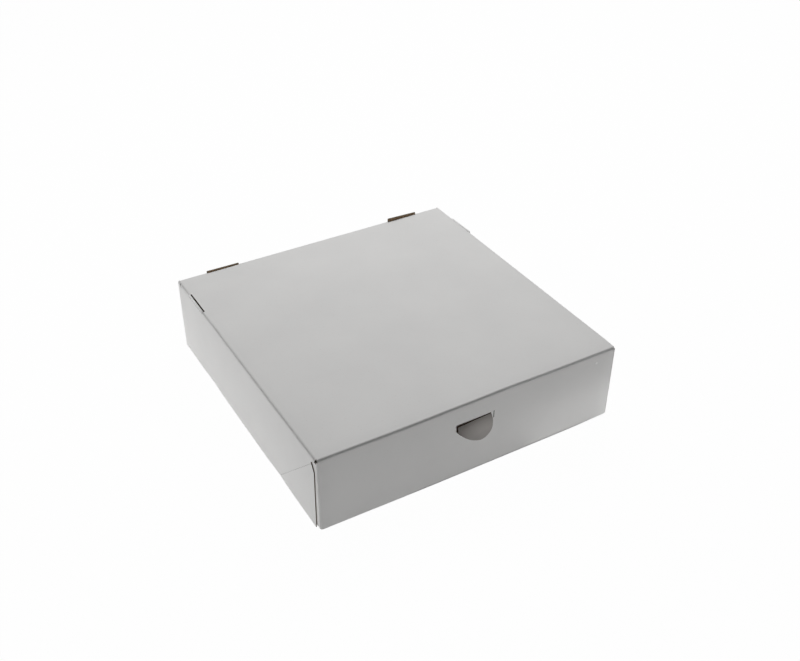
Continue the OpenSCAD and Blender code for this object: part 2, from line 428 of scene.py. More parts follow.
def cut_edge():
    paper = Paper("cut_edge", roughness=0.85, specular=0.05)
    chart = paper.nodes.new("ShaderNodeUVMap")
    chart.uv_map = "edge"
    flutes, across, _ = paper.axes(chart.outputs["UV"])
    swing = paper.math("SINE", paper.math("MULTIPLY", flutes, 2.0 * math.pi))
    wave = paper.math("MULTIPLY", swing, WAVE_HEIGHT)
    middle = paper.math("SUBTRACT", across, 0.5)
    off_wave = paper.math("ABSOLUTE", paper.math("SUBTRACT", middle, wave))
    flute = paper.math("LESS_THAN", off_wave, FLUTE_HALF)
    liner = paper.math("GREATER_THAN", paper.math("ABSOLUTE", middle), LINER_FROM)
    solid = paper.math("MAXIMUM", flute, liner)
    tone = paper.ramp(paper.noise(900.0, 3.0), (0.3, EDGE_DARK), (0.7, EDGE_LIGHT))
    paper.colour(paper.mix(solid, HOLLOW_SHADE, tone))
    paper.bump(solid, distance=0.05 * MM, strength=0.5)
    return paper.material


# %% [markdown]
# ## Scored fold
# Where the board is scored to fold, the coating is pressed and greyer, and the fold lies in shade.
# The groove alone could darken the line, but in the photograph the folds are plainer than their
# grooves make them. So the pressed strip has a paper of its own, grey for its pressed coating and
# as painted shade of the fold, and painted light makes it paler to the right and to the rear.

# %% Mix the scored fold
# The strip is grey for its pressed coating and as painted shade of the fold; painted light makes
# it paler at the rear and towards the right
PRESSED_SHADE_DARK, PRESSED_SHADE_LIGHT = (0.66, 0.65, 0.64), (0.76, 0.755, 0.745)
REAR_FROM, REAR_SHARE, REAR_PAINTED_LIGHT = 0.041, 0.6, (0.77, 0.767, 0.76)
RIGHT_SLOPE, RIGHT_SHARE, RIGHT_PAINTED_LIGHT = 25.0, 0.9, (0.86, 0.857, 0.85)


def scored_fold():
    paper = Paper("scored_fold", roughness=0.7)
    pressed_shade = paper.ramp(paper.noise(260.0, 4.0), (0.3, PRESSED_SHADE_DARK), (0.7, PRESSED_SHADE_LIGHT))
    x, y, _ = paper.axes()
    rear = paper.math("MULTIPLY", paper.math("GREATER_THAN", y, REAR_FROM), REAR_SHARE)
    rightward = paper.math("MAXIMUM", paper.math("MULTIPLY", x, RIGHT_SLOPE), 0.0)
    right_part = paper.math("MINIMUM", rightward, RIGHT_SHARE)
    lit_rear = paper.mix(rear, pressed_shade, REAR_PAINTED_LIGHT)
    paper.colour(paper.mix(right_part, lit_rear, RIGHT_PAINTED_LIGHT))
    paper.bump(paper.noise(1400.0, 3.0), distance=0.02 * MM, strength=0.7)
    return paper.material


# %% [markdown]
# ## Thumb tab liner
# The paper of the thumb tab is drawn greyer and browner than the rest. Painted shade darkens it
# most under the left end of its cut, where the front above shades the pressed-in tab. The shade
# could be painted by hand, but a ramp that grows with the way down and to the right follows the
# tab and can be set again in one line.

# %% Mix the thumb tab liner and its painted shade
# Painted shade: darkest just under the cut, fading downwards and towards the right
SHADE_TOP, SHADE_DOWN = 0.0342, 70.0
SHADE_LEFT, SHADE_RIGHT = -0.006, 22.0
SHADE_STOPS = (
    (0.0, (0.15, 0.137, 0.125)),
    (0.1, (0.27, 0.257, 0.244)),
    (0.21, (0.43, 0.417, 0.404)),
    (0.35, (0.62, 0.61, 0.60)),
    (0.53, (0.81, 0.805, 0.80)),
    (0.8, PLAIN),
)
TAB_DARK, TAB_LIGHT = (0.445, 0.42, 0.40), (0.49, 0.465, 0.446)


def handled_liner():
    """The tab's paper, greyer than the rest, with painted shade darkest under the left end of the
    cut.
    """
    paper = Paper("handled_liner", roughness=0.6)
    x, _, z = paper.axes()
    below = paper.math("MULTIPLY", paper.math("SUBTRACT", SHADE_TOP, z), SHADE_DOWN)
    sideways = paper.math("MULTIPLY", paper.math("SUBTRACT", x, SHADE_LEFT), SHADE_RIGHT)
    right_of = paper.math("MAXIMUM", sideways, 0.0)
    painted_shade = paper.ramp(paper.math("ADD", below, right_of), *SHADE_STOPS)
    cloud = paper.ramp(paper.noise(60.0, 3.0), (0.3, TAB_DARK), (0.7, TAB_LIGHT))
    paper.colour(paper.mix(1.0, cloud, painted_shade, "MULTIPLY"))
    paper.bump(paper.noise(1600.0, 3.0), distance=0.012 * MM, strength=0.6)
    return paper.material


# %% Lay out the papers
WHITE, KRAFT, EDGE, SCORE, TAB_LINER = range(5)
papers = (white_liner(), kraft_liner(), cut_edge(), scored_fold(), handled_liner())
print("papers", [paper.name for paper in papers])

# %% [markdown]
# ## How a board is made
# A board has two skins. Each starts as one flat grid, and its edges are extruded round the folds
# and down the walls, as the real sheet is folded. Both skins are made by the same steps, so
# their edges match, and bridging the edges closes the board and leaves its cut rim. A solidify
# modifier would be shorter, but it tangles in the grooves of the folds.


# %% Tools for a skin
def pick(piece):
    """Makes a piece the active one and the only one selected."""
    bpy.ops.object.select_all(action="DESELECT")
    bpy.context.view_layer.objects.active = piece
    piece.select_set(True)


def edit(piece):
    pick(piece)
    bpy.ops.object.mode_set(mode="EDIT")


def leave_edit():
    bpy.ops.object.mode_set(mode="OBJECT")


def start_skin(name, low, high, height, columns, rows):
    """A flat grid from low to high at one height, left in edit mode."""
    bpy.ops.object.select_all(action="DESELECT")
    bpy.ops.mesh.primitive_grid_add(x_subdivisions=columns, y_subdivisions=rows, size=1.0)
    skin = bpy.context.object
    skin.name = name
    for paper in papers:
        skin.data.materials.append(paper)
    edit(skin)
    size = (high[0] - low[0], high[1] - low[1], 1.0)
    middle = ((low[0] + high[0]) / 2, (low[1] + high[1]) / 2, height)
    bpy.ops.mesh.select_all(action="SELECT")
    bpy.ops.transform.resize(value=size, center_override=(0, 0, 0))
    bpy.ops.transform.translate(value=middle)
    return skin


def shape(skin, change):
    """Moves vertices: change returns a new place, or nothing for a vertex that stays."""
    mesh = bmesh.from_edit_mesh(skin.data)
    for vertex in mesh.verts:
        place = change(vertex.co)
        if place is not None:
            vertex.co = place
    bmesh.update_edit_mesh(skin.data)


# %% Tools for a fold
def pick_border(skin, inside):
    """Selects the open edges whose ends both pass the test."""
    mesh = bmesh.from_edit_mesh(skin.data)
    bpy.ops.mesh.select_mode(type="EDGE")
    bpy.ops.mesh.select_all(action="DESELECT")
    for edge in mesh.edges:
        if edge.is_boundary and all(inside(v.co) for v in edge.verts):
            edge.select_set(True)
    bmesh.update_edit_mesh(skin.data)


def extrude(steps):
    for step in steps:
        bpy.ops.mesh.extrude_region_move(TRANSFORM_OT_translate={"value": tuple(step)})


def widen(share):
    """Stretches what is selected across the box."""
    bpy.ops.transform.resize(value=(share, 1, 1), center_override=(0, 0, 0))


def in_mm(profile):
    return [(a * MM, b * MM) for a, b in profile]


def round_fold(profile, outward, onward):
    """Steps round a fold, from pairs of distances from its sharp corner."""
    return [Vector(outward) * (a[0] - b[0]) + Vector(onward) * (b[1] - a[1])
            for a, b in zip(profile, profile[1:])]


def rows_to(axis, start, levels):
    """Steps along one axis that stop at each level in turn."""
    steps = []
    for level in levels:
        step = [0.0, 0.0, 0.0]
        step[axis] = level - start
        steps.append(step)
        start = level
    return steps


def spread(first, last, count):
    """Levels at even steps from the first, which is left out, to the last."""
    return [first + (last - first) * i / count for i in range(1, count + 1)]


# %% Tools to close a board
MOSTLY = 0.6


def join(pieces):
    """Joins pieces into the first of them."""
    pick(pieces[0])
    for piece in pieces[1:]:
        piece.select_set(True)
    bpy.ops.object.join()
    return pieces[0]


def turn_outwards():
    """Turns the faces outwards and leaves edit mode."""
    bpy.ops.mesh.select_all(action="SELECT")
    bpy.ops.mesh.normals_make_consistent(inside=False)
    leave_edit()


def chart_edges(piece, across):
    """Charts the rim: across the board, and along the edge in flutes where it crosses them."""
    chart = piece.data.uv_layers.new(name="edge")
    places = [v.co for v in piece.data.vertices]
    for face in piece.data.polygons:
        if face.material_index != EDGE:
            continue
        runs = [places[b] - places[a] for a, b in face.edge_keys if across(a) == across(b)]
        run = max(runs, key=lambda r: r.length) if runs else Vector()
        axis = None
        if abs(run.y) > MOSTLY * run.length:
            axis = 1
        elif abs(run.z) > MOSTLY * run.length and abs(face.normal.x) > MOSTLY:
            axis = 2
        for corner in face.loop_indices:
            v = piece.data.loops[corner].vertex_index
            flutes = places[v][axis] / FLUTE_PITCH if axis is not None else 0.0
            chart.data[corner].uv = (flutes, across(v))


def close_board(outer, inner, name):
    """Joins two skins, bridges their edges and gives the papers their places."""
    leave_edit()
    count = len(outer.data.vertices)
    scored = [face.index for face in outer.data.polygons if face.material_index == SCORE]
    board = join([outer, inner])
    board.name = name
    edit(board)
    bpy.ops.mesh.select_mode(type="EDGE")
    bpy.ops.mesh.select_all(action="DESELECT")
    bpy.ops.mesh.select_non_manifold(
        extend=False, use_wire=False, use_boundary=True, use_multi_face=False,
        use_non_contiguous=False, use_verts=False)
    bpy.ops.mesh.bridge_edge_loops()
    turn_outwards()
    widest = 0.0
    places = [v.co for v in board.data.vertices]
    for face in board.data.polygons:
        outside = [v < count for v in face.vertices]
        if all(outside):
            face.material_index = SCORE if face.index in scored else WHITE
        elif not any(outside):
            face.material_index = KRAFT
        else:
            face.material_index = EDGE
            ends = [places[v] for v in face.vertices]
            widest = max(widest, max((a - b).length for a in ends for b in ends))
    chart_edges(board, lambda v: 0.0 if v < count else 1.0)
    print(name, len(places), "vertices, longest rim face", round(widest / MM, 2), "mm")
    return board


# %% [markdown]
# ## Lid
# The lid is the top with two sides and a front folded down from it. The folds are scored, so a
# groove runs along each of them. The ends of the front panel turn back as triangular flaps that
# are glued inside the sides. The trimmed front corners of the sides leave a small open notch.
# A box with bevelled edges would be quicker, but it has no notch, no flaps and no cut rim.

# %% Trim the sides and the front
FRONT_HALF = HALF - 0.5 * MM
SIDE_LIFT = 0.8 * MM
FRONT_LIFT = 0.6 * MM
# Millimetres below the top, and back from the front
TRIM_TOP, TRIM_LOW = 4.9, 10.3
SIDE_FRONT = [(1.5, 1.6), (TRIM_TOP, 6.2), (TRIM_LOW, 3.0), (51.2, 4.0)]
SLACK = 0.001
RIM_THICK = 0.45 * MM
REAR_STEP = 0.4 * MM
# The ends of the front fold
PINCH, PINCH_DEPTH = 0.6, 1.6 * MM
FOLD_ZONE = 3 * MM
RIGHT_LEAN, RIGHT_FALL = 0.65 * MM, 1.5 * MM
LEFT_SHORT = 0.9 * MM
# The flaps behind the front, and its lower corners
FLAP_TOP = 3.1 * MM
FLAP_REACH = 40 * MM
FLAP_BEND = 0.16 * FLAP_REACH
FLAP_LIFT = 1.9 * MM
FLAP_SLANT = 0.6 * MM
TUCK, TUCK_LENGTH = 0.75 * MM, 5.5 * MM
CORNER_ZONE, CORNER_RISE = 3 * MM, 1.3 * MM


def side_front(z):
    """Front edge of a lid side at one height: a notch under the fold, then the trimmed corner."""
    down = (TOP - z) / MM
    for (d0, y0), (d1, y1) in zip(SIDE_FRONT, SIDE_FRONT[1:]):
        if down <= d1 + SLACK:
            return -HALF + MM * (y0 + (y1 - y0) * max(0.0, (down - d0) / (d1 - d0)))
    return -HALF + SIDE_FRONT[-1][1] * MM


def trim_side(p, edge, rear, depth):
    """Trims a side at the front and the rear, and shortens the ends of the front fold."""
    side = math.copysign(1.0, p.x)
    on_side = abs(p.x) > HALF - depth - TINY
    at_front = abs(p.y + edge) < TINY
    in_fold = p.z > TOP - depth - PINCH_DEPTH
    if side > 0 and at_front and p.x > edge + TINY and in_fold:
        return (edge + PINCH * (p.x - edge), p.y, p.z)
    if on_side and at_front:
        return (side * (HALF - (RIM_THICK if depth else 0.0)), side_front(p.z), p.z)
    if abs(p.y - rear) < TINY and abs(p.x) > edge + TINY:
        return (p.x, HALF if on_side else HALF - REAR_STEP, p.z)
    before_edge = -HALF + depth - TINY < p.y < -edge - TINY
    if abs(abs(p.x) - edge) < TINY and before_edge and p.z > TOP - FOLD_ZONE:
        if side > 0:
            return (edge + RIGHT_LEAN * (TOP - depth - p.z) / RIGHT_FALL, p.y, p.z)
        return (-HALF + depth + LEFT_SHORT, p.y, p.z)
    return None


def trim_front(p, depth, flat, turn_x, turn_y):
    """Tapers and tucks in the glued flaps, and rounds the lower corners of the front."""
    side = math.copysign(1.0, p.x)
    at_bottom = abs(p.z - FRONT_LIFT) < TINY
    below_fold = p.z < TOP - FLAP_TOP + TINY
    if abs(abs(p.x) - turn_x) < TINY and below_fold and p.y > turn_y + TINY:
        reach = TOP + FLAP_SLANT - p.z - (turn_y + HALF)
        y = turn_y + (p.y - turn_y) / FLAP_REACH * reach
        tuck = TUCK * min(1.0, max(0.0, (y - side_front(p.z)) / TUCK_LENGTH))
        return (side * (FRONT_HALF - tuck - depth), y, FLAP_LIFT if at_bottom else p.z)
    if at_bottom and abs(p.x) > flat - TINY and p.y < -HALF + CORNER_ZONE:
        share = (abs(p.x) - flat) / (turn_x - flat)
        return (p.x, p.y, p.z + CORNER_RISE * share ** 2)
    return None


# %% Fold the skins of the lid
# Each fold is pairs of millimetres from its sharp corner: back along one face, down the other
FOLD_OUT = [(1.5, 0.0), (1.1, 0.05), (0.73, 0.2), (0.48, 0.48), (0.2, 0.73), (0.05, 1.1),
            (0.0, 1.5)]
FOLD_IN = [(2.9, 1.2), (2.4, 1.26), (2.05, 1.45), (1.8, 1.8), (1.45, 2.05), (1.26, 2.4),
           (1.2, 2.9)]
CORNER_OUT = [(1.5, 0.0), (1.25, 0.15), (1.0, 0.03), (0.45, 0.12), (0.12, 0.45), (0.05, 1.0)]
CORNER_IN = [(2.2, 1.2), (1.9, 1.2), (1.65, 1.22), (1.4, 1.3), (1.28, 1.5), (1.25, 2.0)]
LID_CELLS = 24
SIDE_ROWS, FRONT_ROWS, FLAP_ROWS = 6, 7, 5
REAR_OUT, REAR_IN = HALF - FOLD_TURN, HALF - 1.6 * MM
SCORE_WIDTH = 0.9 * MM


def lid_skin(name, depth, fold, corner, rear):
    fold, corner = in_mm(fold), in_mm(corner)
    edge = HALF - fold[0][0]
    height = TOP - depth
    skin = start_skin(name, (-edge, -edge), (edge, rear), height, LID_CELLS, LID_CELLS)
    below = TOP - fold[-1][1]
    levels = [TOP - TRIM_TOP * MM, TOP - TRIM_LOW * MM]
    for side in (-1, 1):
        pick_border(skin, lambda p: side * p.x > edge - TINY)
        extrude(round_fold(fold, (side, 0, 0), (0, 0, -1)))
        extrude(rows_to(2, below, levels + spread(levels[-1], SIDE_LIFT, SIDE_ROWS)))
    pick_border(skin, lambda p: p.y < -edge + TINY and p.z > height - TINY
                and abs(p.x) < edge + TINY)
    extrude(round_fold(fold, (0, -1, 0), (0, 0, -1)))
    flat = FRONT_HALF - corner[0][0]
    widen(flat / edge)
    front_levels = [TOP - FLAP_TOP] + levels + spread(levels[-1], FRONT_LIFT, FRONT_ROWS)
    extrude(rows_to(2, below, front_levels))
    turn_x, turn_y = FRONT_HALF - corner[-1][0], -HALF + corner[-1][1]
    flap_levels = [FLAP_BEND / 2, FLAP_BEND] + spread(FLAP_BEND, FLAP_REACH, FLAP_ROWS)
    for side in (-1, 1):
        pick_border(skin, lambda p: side * p.x > flat - TINY and p.y < -HALF + depth + TINY)
        extrude(round_fold(corner, (side, 0, 0), (0, 1, 0)))
        pick_border(skin, lambda p: abs(p.x - side * turn_x) < TINY
                    and abs(p.y - turn_y) < TINY and p.z < TOP - FLAP_TOP + TINY)
        extrude(rows_to(1, 0.0, flap_levels))
    shape(skin, lambda p: trim_side(p, edge, rear, depth)
          or trim_front(p, depth, flat, turn_x, turn_y))
    return skin


def mark_score(skin):
    """The pressed middle of each fold gets the scored paper with its painted shade."""
    mesh = bmesh.from_edit_mesh(skin.data)
    for face in mesh.faces:
        middle = face.calc_center_median()
        inward = min(HALF - abs(middle.x), HALF + middle.y)
        if TOP - middle.z < SCORE_WIDTH and inward < SCORE_WIDTH:
            face.material_index = SCORE
    bmesh.update_edit_mesh(skin.data)


lid_outer = lid_skin("lid_sheet", 0.0, FOLD_OUT, CORNER_OUT, REAR_OUT)
mark_score(lid_outer)
leave_edit()
lid_inner = lid_skin("lid_inner", BOARD, FOLD_IN, CORNER_IN, REAR_IN)
lid_sheet = close_board(lid_outer, lid_inner, "lid_sheet")

# %% [markdown]
# ## Openings in the lid
# The front has an opening for the thumb tab: straight on top and round below, with a short slit
# at each end of its top. A slot is cut at the left edge of the top and two notches at its rear
# edge, where the vent tabs stand. A short relief cut leans a little near the rear corner of each
# side. Faces could be deleted instead, but the cuts do not follow the grid, so boolean cutters
# stamp them as a die would.

# %% Tools for cutting
# Painted shade: every cutter's faces are charted at the dark hollow, so the slot, slits, notches
# and thumb opening show their cut walls in painted shade
CUT_FACE_SHADE = (0.0, 0.28)


def add_box(low, high, turn=(0.0, 0.0, 0.0)):
    """A box between two corners, turned about its middle, with its place in its mesh."""
    bpy.ops.object.select_all(action="DESELECT")
    middle = [(a + b) / 2 for a, b in zip(low, high)]
    bpy.ops.mesh.primitive_cube_add(size=1.0, location=middle, rotation=turn)
    box = bpy.context.object
    box.scale = [b - a for a, b in zip(low, high)]
    bpy.ops.object.transform_apply(location=True, rotation=True, scale=True)
    return box


def edge_cutter(cutter):
    """Gives a cutter the cut edge paper, charted all over at its dark hollow, so its cut faces
    show painted shade.
    """
    cutter.data.materials.append(papers[EDGE])
    layers = cutter.data.uv_layers
    chart = layers.get("edge") or layers.new(name="edge")
    for corner in chart.data:
        corner.uv = CUT_FACE_SHADE
    for other in [layer.name for layer in layers if layer.name != "edge"]:
        layers.remove(layers[other])
    return cutter


def box_cutter(low, high, turn=(0.0, 0.0, 0.0)):
    return edge_cutter(add_box(low, high, turn))


def cut(piece, cutter):
    """Cuts the piece with a closed cutter whose faces become cut edges."""
    pick(piece)
    tool = piece.modifiers.new("cut", "BOOLEAN")
    tool.operation = "DIFFERENCE"
    tool.solver = "EXACT"
    tool.material_mode = "TRANSFER"
    tool.object = cutter
    bpy.ops.object.modifier_apply(modifier="cut")
    bpy.data.objects.remove(cutter)


# %% Cut the thumb opening
# The crease of the tab in millimetres across and up, from its left end to its right end
CREASE = [(-12.7, 34.3), (-12.1, 32.9), (-10.7, 31.1), (-8.5, 28.9), (-6.5, 26.8), (-4.3, 25.0),
          (-2.0, 23.4), (0.4, 22.2), (2.8, 21.2), (5.0, 20.9), (7.1, 21.3), (8.9, 22.4),
          (10.4, 23.8), (11.4, 25.4), (12.0, 27.3), (12.2, 29.6), (12.1, 32.0), (11.7, 34.4),
          (11.1, 36.4), (10.5, 38.1)]
THUMB_LEFT, THUMB_RIGHT = -12.7 * MM, 10.4 * MM
THUMB_TOP = TOP - 13.1 * MM
SLIT_LOW = THUMB_TOP - 4.7 * MM
# Each slit in millimetres: its left and right, and how far it runs above the cut
SLITS = ((12.15, 12.7, 0.3), (-13.1, -12.6, 0.0))
OVER = 1.0 * MM
THROUGH = 3 * MM
PRISM_DEPTH = 8 * MM


def along(points, share):
    """A point of a line: share runs from 0 at its left end to 1 at its right end."""
    place = share * (len(points) - 1)
    first = min(int(place), len(points) - 2)
    part = place - first
    return [(a + (b - a) * part) * MM for a, b in zip(points[first], points[first + 1])]


def extrude_all(step):
    """Extrudes the whole sheet by one step, so that it becomes a closed piece."""
    bpy.ops.mesh.select_all(action="SELECT")
    extrude([step])
    turn_outwards()


def thumb_cutter():
    """A prism with the outline of the pressed tab: round the crease, and closed by the cut."""
    count = len(CREASE) * 2 + 2
    bpy.ops.object.select_all(action="DESELECT")
    bpy.ops.mesh.primitive_circle_add(vertices=count, radius=1.0, fill_type="NGON")
    cutter = bpy.context.object
    edit(cutter)
    outline = [along(CREASE, i / (count - 3)) for i in range(count - 2)]
    outline += [[THUMB_RIGHT, THUMB_TOP], [THUMB_LEFT, THUMB_TOP]]
    mesh = bmesh.from_edit_mesh(cutter.data)
    for vertex, (x, z) in zip(mesh.verts, outline):
        vertex.co = (x, -HALF - PRISM_DEPTH / 2, z)
    bmesh.update_edit_mesh(cutter.data)
    extrude_all((0, PRISM_DEPTH, 0))
    return edge_cutter(cutter)


cut(lid_sheet, thumb_cutter())
for slit_left, slit_right, rise in SLITS:
    low = (slit_left * MM, -HALF - OVER, SLIT_LOW)
    high = (slit_right * MM, -HALF + THROUGH, THUMB_TOP + rise * MM)
    cut(lid_sheet, box_cutter(low, high))
print("thumb opening", len(lid_sheet.data.polygons), "faces")

# %% Cut the slot, the notches and the relief cuts
VENT_NEAR, VENT_FAR = 57.5 * MM, 80.0 * MM
SLOT_WIDTH, SLOT_DEPTH = 1.85 * MM, 1.55 * MM
NOTCH_ROOM, NOTCH_WIDTH, NOTCH_DEPTH = 0.25 * MM, 1.4 * MM, 4 * MM
RELIEF_BACK, RELIEF_DOWN = 4.2 * MM, 1.8 * MM
RELIEF_HALF = Vector((2.5 * BOARD, 0.4 * MM, 1.3 * MM))
RELIEF_LEAN = (math.radians(-10), 0, 0)

cut(lid_sheet, box_cutter((-HALF - OVER, VENT_NEAR, TOP - SLOT_DEPTH),
                          (-HALF + SLOT_WIDTH, VENT_FAR, TOP + OVER)))
for side in (-1, 1):
    xs = sorted((side * (VENT_NEAR - NOTCH_ROOM), side * (VENT_FAR + NOTCH_ROOM)))
    cut(lid_sheet, box_cutter((xs[0], HALF - NOTCH_WIDTH, TOP - NOTCH_DEPTH),
                              (xs[1], HALF + OVER, TOP + OVER)))
    middle = Vector((side * HALF, HALF - RELIEF_BACK, TOP - RELIEF_DOWN))
    cut(lid_sheet, box_cutter(middle - RELIEF_HALF, middle + RELIEF_HALF, RELIEF_LEAN))
print("slot, notches and relief cuts", len(lid_sheet.data.polygons), "faces")

# %% [markdown]
# ## Creases of the sides
# A dotted crease slants down each side of the lid from its front corner, so that the side can
# fold flat. It could be a dashed line in the material, but the dots are pressed into the real
# card. One nick is modelled, an array repeats it, and the row is cut out of the board.

# %% Nick the creases
# The walls of the nicks take the dark hollow of every cutter, painted shade in the dots
NICKS = 28
NICK_START = 7.2 * MM
NICK_STEP = 1.55 * MM
NICK_HALF = Vector((0.22 * MM, 0.45 * MM, 0.1 * MM))
NICK_SLANT = (math.radians(-45), 0, 0)


def crease_cutter(side):
    """A row of short nicks down the slanting crease of one lid side."""
    start = Vector((side * HALF, -HALF + NICK_START, TOP - NICK_START))
    cutter = box_cutter(start - NICK_HALF, start + NICK_HALF, NICK_SLANT)
    row = cutter.modifiers.new("row", "ARRAY")
    row.count = NICKS
    row.use_relative_offset = False
    row.use_constant_offset = True
    row.constant_offset_displace = (0.0, NICK_STEP, -NICK_STEP)
    bpy.ops.object.modifier_apply(modifier="row")
    return cutter


for side in (-1, 1):
    cut(lid_sheet, crease_cutter(side))
print("nicks on each side", NICKS)

# %% [markdown]
# ## Marks of handling
# Card that has been folded is never quite flat. The front fold waves a little, the left side has
# soft kinks and a dent in its lower edge, and the lower corners of the front curl up. A cloth
# simulation could crumple it, but these few places are known, so each is a soft bump that is
# added to the places of the vertices.

# %% Bend the lid a little
# Heights, middles and widths of the bumps are in millimetres
FOLD_WAVES = ((-0.4, -50, 24), (0.4, 22, 16))
WAVE_REACH = 35 * MM
EDGE_KINK = (0.6, 37, 5)
SIDE_BULGE = (0.35, 36, 10)
SIDE_KINK, KINK_END = (0.35, 51.8, 9), 96
LOW_DENT = (0.45, -46, 9)
EDGE_WIDTH, SIDE_WIDTH, EDGE_DEPTH = 3 * MM, 2 * MM, 2 * MM
CURL_TOP = 12 * MM
LEFT_CURL, LEFT_FROM, LEFT_LENGTH, LEFT_POWER = 0.9, 25, 72, 1.2
RIGHT_CURL, RIGHT_FROM, RIGHT_LENGTH = 0.8, 72, 26


def swell(value, middle, width):
    """A soft bump: one at its middle, and nothing a few widths away."""
    return math.exp(-((value - middle) / width) ** 2)


def warp(p):
    """Waves the front fold, kinks and dents the left side and curls the front's lower corners."""
    x_mm, y_mm, z_mm = (v / MM for v in p)
    up = p.z / TOP
    wave = sum(rise * swell(x_mm, middle, width) for rise, middle, width in FOLD_WAVES)
    near_front = max(0.0, 1 - (p.y + HALF) / WAVE_REACH) * max(0.0, up)
    x, z = p.x, p.z + wave * near_front * MM
    if p.x < -HALF + EDGE_WIDTH and p.z > TOP - EDGE_DEPTH:
        z += MM * EDGE_KINK[0] * swell(y_mm, *EDGE_KINK[1:])
    if p.x < -HALF + SIDE_WIDTH and p.z < TOP - EDGE_DEPTH:
        x -= MM * SIDE_BULGE[0] * up * swell(y_mm, *SIDE_BULGE[1:])
        if y_mm < KINK_END:
            x += MM * SIDE_KINK[0] * swell(y_mm - z_mm, *SIDE_KINK[1:])
        x += MM * LOW_DENT[0] * swell(y_mm, *LOW_DENT[1:]) * (1 - up) ** 2
    if p.y < -HALF + EDGE_WIDTH and p.z < CURL_TOP:
        left = min(1.0, max(0.0, -x_mm - LEFT_FROM) / LEFT_LENGTH)
        right = min(1.0, max(0.0, x_mm - RIGHT_FROM) / RIGHT_LENGTH)
        z += MM * (LEFT_CURL * left ** LEFT_POWER + RIGHT_CURL * right) * (1 - p.z / CURL_TOP)
    return (x, p.y, z)


def smooth(piece, degrees=35):
    """Shades the piece smooth, apart from edges sharper than an angle."""
    pick(piece)
    bpy.ops.object.shade_smooth_by_angle(angle=math.radians(degrees))


edit(lid_sheet)
shape(lid_sheet, warp)
leave_edit()
smooth(lid_sheet)
print("lid sheet", len(lid_sheet.data.polygons), "faces")

# %% [markdown]
# ## Thumb tab
# The tab is cut on its straight top and hangs on a half-round crease. A thumb has pressed it in,
# deepest left of its middle. It could be cut out of the front and turned, but a turned flat tab
# would leave its curved crease. So a grid is bent to its form: each column runs from the crease
# up to the cut end, whose points give how far it is pressed in and how far it has dropped.

# %% Bend the thumb tab
# Points of the cut end in millimetres: across, pressed in and dropped
CUT_END = [(-10.8, 1.4, 3.6), (-8.7, 2.3, 4.4), (-6.3, 2.8, 4.8), (-3.3, 2.8, 4.5),
           (-0.1, 2.4, 3.8), (3.1, 1.8, 3.0), (6.0, 1.2, 2.2), (8.5, 0.6, 1.4), (10.3, 0.1, 0.6)]
TAB_COLUMNS, TAB_ROWS = 48, 12
TAB_THICK, TAB_THINNING = BOARD * 0.9, 0.4
TAB_NARROWING = 0.995
TAB_BACK = 0.02 * MM
TAB_LIFT = 0.08 * MM
LEFT_ROOM, LEFT_SHARE = 1.1 * MM, 0.06


def tab_skin(name, thick):
    skin = start_skin(name, (0.0, 0.0), (1.0, 1.0), 0.0, TAB_COLUMNS, TAB_ROWS)

    def bend(p):
        x, z = along(CREASE, p.x)
        end_x, push, drop = along(CUT_END, p.x)
        sway = 1 - (1 - p.y) ** 2
        lift = TAB_LIFT + (THUMB_TOP - drop - z) * p.y
        x = x * TAB_NARROWING + LEFT_ROOM * max(0.0, 1 - p.x / LEFT_SHARE)
        y = -HALF + TAB_BACK + push * sway + thick * (1 - TAB_THINNING * p.y)
        return (x + (end_x - x) * p.y, y, z + lift)

    shape(skin, bend)
    return skin


tab_outer = tab_skin("thumb_tab", 0.0)
leave_edit()
tab_inner = tab_skin("thumb_inner", TAB_THICK)
thumb_tab = close_board(tab_outer, tab_inner, "thumb_tab")
# The tab's outside takes the greyer tab paper with its painted shade
for face in thumb_tab.data.polygons:
    if face.material_index == WHITE:
        face.material_index = TAB_LINER
smooth(thumb_tab)

# %% [markdown]
# ## Vent tabs
# Four short tabs stand up at the top edges where the folds were slit: one on each side of the lid
# and two on the rear wall. Each is a bit of the wall that stayed straight when the sheet was
# folded. The rear ones show white outside, brown inside and the cut edge on top and at the ends,
# and the low side ones show only white. They could be extruded from the walls, but as pieces of
# their own they are easy to tilt, so each is a box that is shaped and bevelled.

# %% Stand up the vent tabs
FACES_WELL = 0.9
TAB_BEVEL = 0.16 * MM


def vent_tab(name, low, high, outward, tilt=0.0, bare=True):
    """A standing tab: tilt lifts its top's left end, and bare shows its brown and its cut edge."""
    tab = add_box(low, high)
    tab.name = name
    for paper in papers:
        tab.data.materials.append(paper)
    outward = Vector(outward)
    for face in tab.data.polygons:
        facing = face.normal.dot(outward)
        if facing > FACES_WELL or not bare:
            face.material_index = WHITE
        else:
            face.material_index = KRAFT if facing < -FACES_WELL else EDGE
    edit(tab)
    middle, width = (low[0] + high[0]) / 2, high[0] - low[0]
    shape(tab, lambda p: (p.x, p.y, p.z - tilt * (p.x - middle) / width) if p.z > TOP else None)
    bpy.ops.mesh.select_all(action="SELECT")
    bpy.ops.mesh.bevel(offset=TAB_BEVEL, segments=2, affect="EDGES")
    leave_edit()
    axis = 0 if outward.x else 1
    inner = low[axis] if outward[axis] > 0 else high[axis]
    places = [v.co.copy() for v in tab.data.vertices]
    chart_edges(tab, lambda v: 1.0 - min(1.0, abs(places[v][axis] - inner) / BOARD))
    smooth(tab)
    print(name, "stands", round((high[2] - TOP) / MM, 2), "mm above the lid")
    return tab


